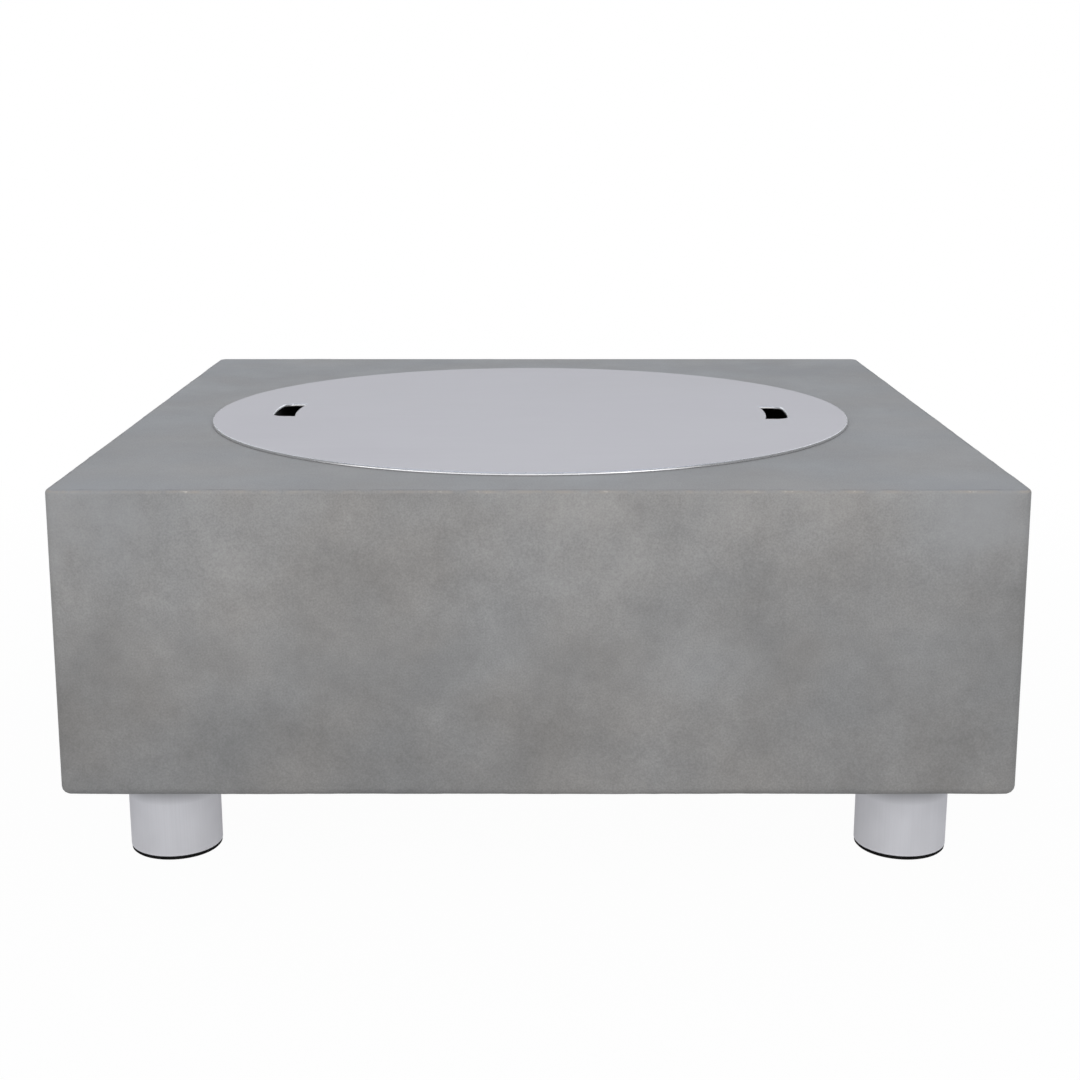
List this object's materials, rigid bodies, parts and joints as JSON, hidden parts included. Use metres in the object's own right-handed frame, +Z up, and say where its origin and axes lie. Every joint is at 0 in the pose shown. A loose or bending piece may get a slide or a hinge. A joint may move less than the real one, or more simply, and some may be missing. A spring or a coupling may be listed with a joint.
{
  "type": "concrete fire pit table",
  "caption": "Low square concrete fire pit table on steel tube legs, with a loose round steel lid with hand slots over a drop-in gas ring burner and a recessed control box at the back.",
  "frame": {"origin": "middle of the footprint on the floor, under the feet", "axes": "+X to the right seen from the front, +Y to the back, where the controls are, +Z up"},
  "size_m": [1.022, 1.022, 0.4322],
  "materials": {
    "concrete": "smooth cast concrete, mottled grey",
    "lid_steel": "satin steel plate",
    "leg_steel": "brushed along the tube",
    "foot_rubber": "matt black",
    "sheet_steel": "brushed stainless sheet",
    "burner_steel": "stainless tube with heat tint",
    "brass": "machined",
    "pipe_aluminium": "drawn tube",
    "fastener_steel": "plain steel",
    "knob_plastic": "fine moulded grain",
    "button_plastic": "moulded",
    "lead_rubber": "silicone sleeve",
    "insulator_ceramic": "white alumina",
    "copper": "drawn copper",
    "lava": "rough porous lava"
  },
  "bodies": {
    "table": {"concrete_body": "concrete", "burner_pan": "sheet_steel", "ring_burner": "burner_steel", "burner_locknut": "brass", "air_mixer": "brass", "orifice_elbow": "brass", "burner_pipe": "pipe_aluminium", "inlet_pipe": "pipe_aluminium", "pipe_nuts": "brass", "inlet_fitting": "brass", "inlet_locknut": "brass", "inlet_bracket": "sheet_steel", "bracket_screws": "fastener_steel", "control_box": "sheet_steel", "control_box_screws": "fastener_steel", "gas_valve": "brass", "valve_nut": "fastener_steel", "igniter_module": "knob_plastic", "igniter_nut": "knob_plastic", "igniter_lead": "lead_rubber", "sensor_bracket": "sheet_steel", "electrode_insulator": "insulator_ceramic", "electrode_rod": "fastener_steel", "thermocouple": "copper", "thermocouple_lead": "copper", "lava_rocks": "lava", "leg_front_left": "leg_steel", "leg_front_right": "leg_steel", "leg_rear_left": "leg_steel", "leg_rear_right": "leg_steel", "foot_front_left": "foot_rubber", "foot_front_right": "foot_rubber", "foot_rear_left": "foot_rubber", "foot_rear_right": "foot_rubber", "leg_bolts": "fastener_steel", "leg_sleeves": "fastener_steel"},
    "lid": {"lid": "lid_steel"},
    "plunger": {"valve_plunger": "brass"},
    "knob": {"control_knob": "knob_plastic", "valve_stem": "fastener_steel"},
    "button": {"igniter_button": "button_plastic"}
  },
  "joints": [
    {"name": "lid_lift", "type": "slide", "parent": "table", "child": "lid", "axis": [0, 0, 1], "range_m": [0, 0.3]},
    {"name": "knob_push", "type": "slide", "parent": "table", "child": "plunger", "axis": [0, -1, 0], "range_m": [0, 0.004], "stiffness_N_per_m": 2000},
    {"name": "knob_turn", "type": "hinge", "parent": "plunger", "child": "knob", "pos_m": [-0.064, 0.48, 0.246], "axis": [0, 1, 0], "range_deg": [0, 210]},
    {"name": "igniter_press", "type": "slide", "parent": "table", "child": "button", "axis": [0, -1, 0], "range_m": [0, 0.004], "stiffness_N_per_m": 800}
  ]
}
